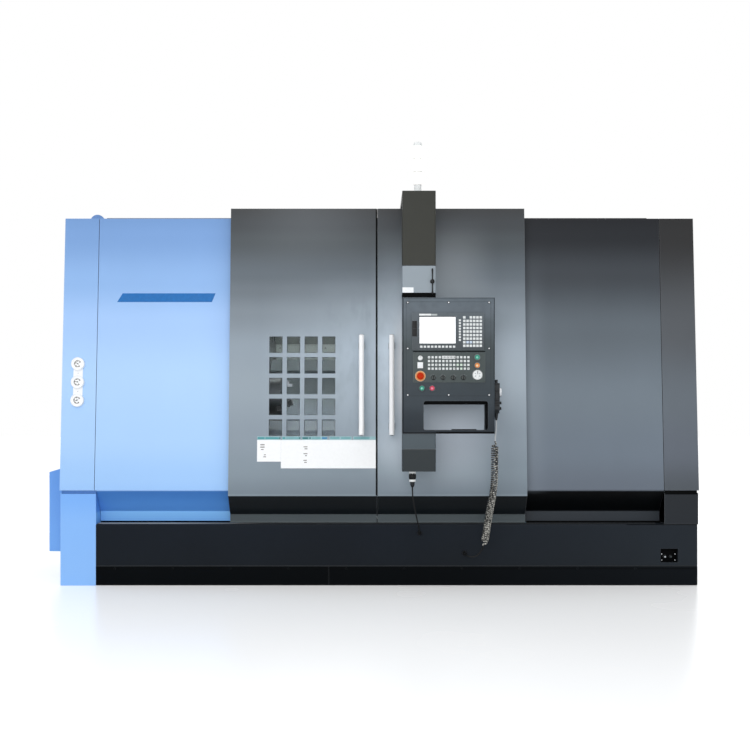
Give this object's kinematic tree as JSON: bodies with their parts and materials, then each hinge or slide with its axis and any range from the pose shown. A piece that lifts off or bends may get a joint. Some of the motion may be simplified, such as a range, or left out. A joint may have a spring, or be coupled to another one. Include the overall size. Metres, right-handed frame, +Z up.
{
  "type": "cnc turning lathe",
  "caption": "Enclosed slant-bed turning centre with two sliding doors, a swivelling operator pendant, chuck spindle, tool turret, tailstock, signal tower and rear electrical cabinet.",
  "frame": {"origin": "on the floor under the machine, midway between the two end covers and one metre behind the base's front", "axes": "+X along the spindle from the chuck to the tailstock, +Y from the operator to the back, +Z up"},
  "size_m": [4.01, 2.3743, 2.627],
  "materials": {
    "blue_paint": "satin, slightly textured",
    "dark_paint": "fine textured",
    "black_paint": "fine textured",
    "box_paint": "fine textured",
    "grey_paint": "satin",
    "cabinet_paint": "fine textured",
    "bed_iron": "ground ways, painted body",
    "steel": "ground",
    "chrome": "polished",
    "glass": "clear",
    "white_dial": "matte",
    "black_plastic": "matte",
    "bezel_plastic": "matte",
    "red_plastic": "gloss",
    "green_plastic": "gloss",
    "orange_plastic": "gloss",
    "lens_plastic": "translucent",
    "cord_rubber": "matte"
  },
  "bodies": {
    "machine": {"base_frame": "black_paint", "kick_plates": "black_paint", "column_covers": "blue_paint", "left_front_panel": "blue_paint", "right_front_panel": "dark_paint", "left_end_cover": "blue_paint", "right_end_cover": "dark_paint", "roof_panel": "dark_paint", "rear_panel": "dark_paint", "electrical_cabinet": "cabinet_paint", "motor_side_cover": "blue_paint", "slant_bed": "bed_iron", "headstock": "bed_iron", "end_guards": "steel", "door_tracks": "steel", "pendant_arm": "box_paint", "swivel_housing": "grey_paint", "signal_tower": "lens_plastic", "pressure_gauges": "white_dial", "cable_fittings": "black_plastic", "connector_lead": "cord_rubber", "wheel_cord": "cord_rubber"},
    "left_door": {"left_door": "dark_paint", "door_window": "glass", "left_door_handle": "steel"},
    "right_door": {"right_door": "dark_paint", "right_door_handle": "steel"},
    "cabinet_door": {"cabinet_door": "cabinet_paint"},
    "main_switch": {"main_switch": "red_plastic"},
    "spindle": {"spindle": "steel", "chuck_body": "steel"},
    "chuck_jaw_1": {"chuck_jaw_1": "steel"},
    "chuck_jaw_2": {"chuck_jaw_2": "steel"},
    "chuck_jaw_3": {"chuck_jaw_3": "steel"},
    "saddle": {"saddle": "bed_iron"},
    "cross_slide": {"cross_slide": "bed_iron"},
    "turret_disc": {"turret_disc": "steel"},
    "tailstock": {"tailstock": "bed_iron"},
    "quill": {"quill": "chrome"},
    "pendant": {"control_box": "box_paint", "display_unit": "bezel_plastic", "operator_panel": "bezel_plastic", "tail_box": "box_paint", "lead_connector": "black_plastic", "wheel_unit": "bezel_plastic"},
    "swivel_lever": {"swivel_lever": "black_plastic"},
    "emergency_stop": {"emergency_stop": "red_plastic"},
    "start_button": {"start_button": "green_plastic"},
    "hold_button": {"hold_button": "orange_plastic"},
    "power_on_button": {"power_on_button": "green_plastic"},
    "power_off_button": {"power_off_button": "red_plastic"},
    "key_switch": {"key_switch": "white_dial"},
    "override_dial": {"override_dial": "white_dial"},
    "selector_knob_1": {"selector_knob_1": "black_plastic"},
    "selector_knob_2": {"selector_knob_2": "black_plastic"},
    "selector_knob_3": {"selector_knob_3": "black_plastic"},
    "selector_knob_4": {"selector_knob_4": "black_plastic"},
    "hand_wheel": {"hand_wheel": "chrome"},
    "axis_knob": {"axis_knob": "black_plastic"},
    "rate_knob": {"rate_knob": "black_plastic"}
  },
  "joints": [
    {"name": "left_door_slide", "type": "slide", "parent": "machine", "child": "left_door", "axis": [-1, 0, 0], "range_m": [0, 0.8]},
    {"name": "right_door_slide", "type": "slide", "parent": "machine", "child": "right_door", "axis": [1, 0, 0], "range_m": [0, 0.78]},
    {"name": "cabinet_door_hinge", "type": "hinge", "parent": "machine", "child": "cabinet_door", "pos_m": [-0.909, 0.9725, 1.2], "axis": [0, 0, 1], "range_deg": [0, 110]},
    {"name": "main_switch_turn", "type": "hinge", "parent": "cabinet_door", "child": "main_switch", "pos_m": [0.332, 0.986, 1.54], "axis": [0, 1, 0], "range_deg": [0, 90]},
    {"name": "spindle_spin", "type": "hinge", "parent": "machine", "child": "spindle", "pos_m": [-0.74, -0.48, 1.15], "axis": [1, 0, 0], "continuous": true},
    {"name": "jaw_1_slide", "type": "slide", "parent": "spindle", "child": "chuck_jaw_1", "axis": [0, 0, 1], "range_m": [0, 0.006]},
    {"name": "jaw_2_slide", "type": "slide", "parent": "spindle", "child": "chuck_jaw_2", "axis": [0, -0.866, -0.5], "range_m": [0, 0.006]},
    {"name": "jaw_3_slide", "type": "slide", "parent": "spindle", "child": "chuck_jaw_3", "axis": [0, 0.866, -0.5], "range_m": [0, 0.006]},
    {"name": "saddle_slide", "type": "slide", "parent": "machine", "child": "saddle", "axis": [1, 0, 0], "range_m": [-0.55, 0.1]},
    {"name": "cross_slide_slide", "type": "slide", "parent": "saddle", "child": "cross_slide", "axis": [0, -0.7071, -0.7071], "range_m": [-0.05, 0.2]},
    {"name": "turret_index", "type": "hinge", "parent": "cross_slide", "child": "turret_disc", "pos_m": [0.2, -0.1123, 1.5177], "axis": [1, 0, 0], "continuous": true},
    {"name": "tailstock_slide", "type": "slide", "parent": "machine", "child": "tailstock", "axis": [1, 0, 0], "range_m": [-0.25, 0.1]},
    {"name": "quill_slide", "type": "slide", "parent": "tailstock", "child": "quill", "axis": [-1, 0, 0], "range_m": [0, 0.12]},
    {"name": "pendant_swivel", "type": "hinge", "parent": "machine", "child": "pendant", "pos_m": [0.229, -1.25, 1.74], "axis": [0, 0, -1], "range_deg": [0, 75], "deforming": ["connector_lead", "wheel_cord"]},
    {"name": "swivel_lever_turn", "type": "hinge", "parent": "machine", "child": "swivel_lever", "pos_m": [0.306, -1.325, 1.806], "axis": [0, -1, 0], "range_deg": [0, 90]},
    {"name": "emergency_stop_push", "type": "slide", "parent": "pendant", "child": "emergency_stop", "axis": [0, 1, 0], "range_m": [0, 0.006]},
    {"name": "start_button_push", "type": "slide", "parent": "pendant", "child": "start_button", "axis": [0, 1, 0], "range_m": [0, 0.004], "stiffness_N_per_m": 300, "springref_m": -0.003},
    {"name": "hold_button_push", "type": "slide", "parent": "pendant", "child": "hold_button", "axis": [0, 1, 0], "range_m": [0, 0.004], "stiffness_N_per_m": 300, "springref_m": -0.003},
    {"name": "power_on_button_push", "type": "slide", "parent": "pendant", "child": "power_on_button", "axis": [0, 1, 0], "range_m": [0, 0.004], "stiffness_N_per_m": 300, "springref_m": -0.003},
    {"name": "power_off_button_push", "type": "slide", "parent": "pendant", "child": "power_off_button", "axis": [0, 1, 0], "range_m": [0, 0.004], "stiffness_N_per_m": 300, "springref_m": -0.003},
    {"name": "key_switch_turn", "type": "hinge", "parent": "pendant", "child": "key_switch", "pos_m": [0.236, -1.334, 1.3625], "axis": [0, -1, 0], "range_deg": [0, 90]},
    {"name": "override_dial_turn", "type": "hinge", "parent": "pendant", "child": "override_dial", "pos_m": [0.5665, -1.334, 1.265], "axis": [0, -1, 0], "range_deg": [-135, 135]},
    {"name": "selector_knob_1_turn", "type": "hinge", "parent": "pendant", "child": "selector_knob_1", "pos_m": [0.3115, -1.334, 1.249], "axis": [0, -1, 0], "range_deg": [-60, 60]},
    {"name": "selector_knob_2_turn", "type": "hinge", "parent": "pendant", "child": "selector_knob_2", "pos_m": [0.3665, -1.334, 1.249], "axis": [0, -1, 0], "range_deg": [-60, 60]},
    {"name": "selector_knob_3_turn", "type": "hinge", "parent": "pendant", "child": "selector_knob_3", "pos_m": [0.4255, -1.334, 1.249], "axis": [0, -1, 0], "range_deg": [-60, 60]},
    {"name": "selector_knob_4_turn", "type": "hinge", "parent": "pendant", "child": "selector_knob_4", "pos_m": [0.4845, -1.334, 1.249], "axis": [0, -1, 0], "range_deg": [-60, 60]},
    {"name": "hand_wheel_turn", "type": "hinge", "parent": "pendant", "child": "hand_wheel", "pos_m": [0.6998, -1.25, 1.165], "axis": [1, 0, 0], "continuous": true},
    {"name": "axis_knob_turn", "type": "hinge", "parent": "pendant", "child": "axis_knob", "pos_m": [0.6998, -1.262, 1.103], "axis": [1, 0, 0], "range_deg": [-60, 60]},
    {"name": "rate_knob_turn", "type": "hinge", "parent": "pendant", "child": "rate_knob", "pos_m": [0.6998, -1.262, 1.071], "axis": [1, 0, 0], "range_deg": [-40, 40]}
  ],
  "couplings": [
    {"joint": "jaw_2_slide", "follows": "jaw_1_slide", "ratio": 1},
    {"joint": "jaw_3_slide", "follows": "jaw_1_slide", "ratio": 1}
  ]
}
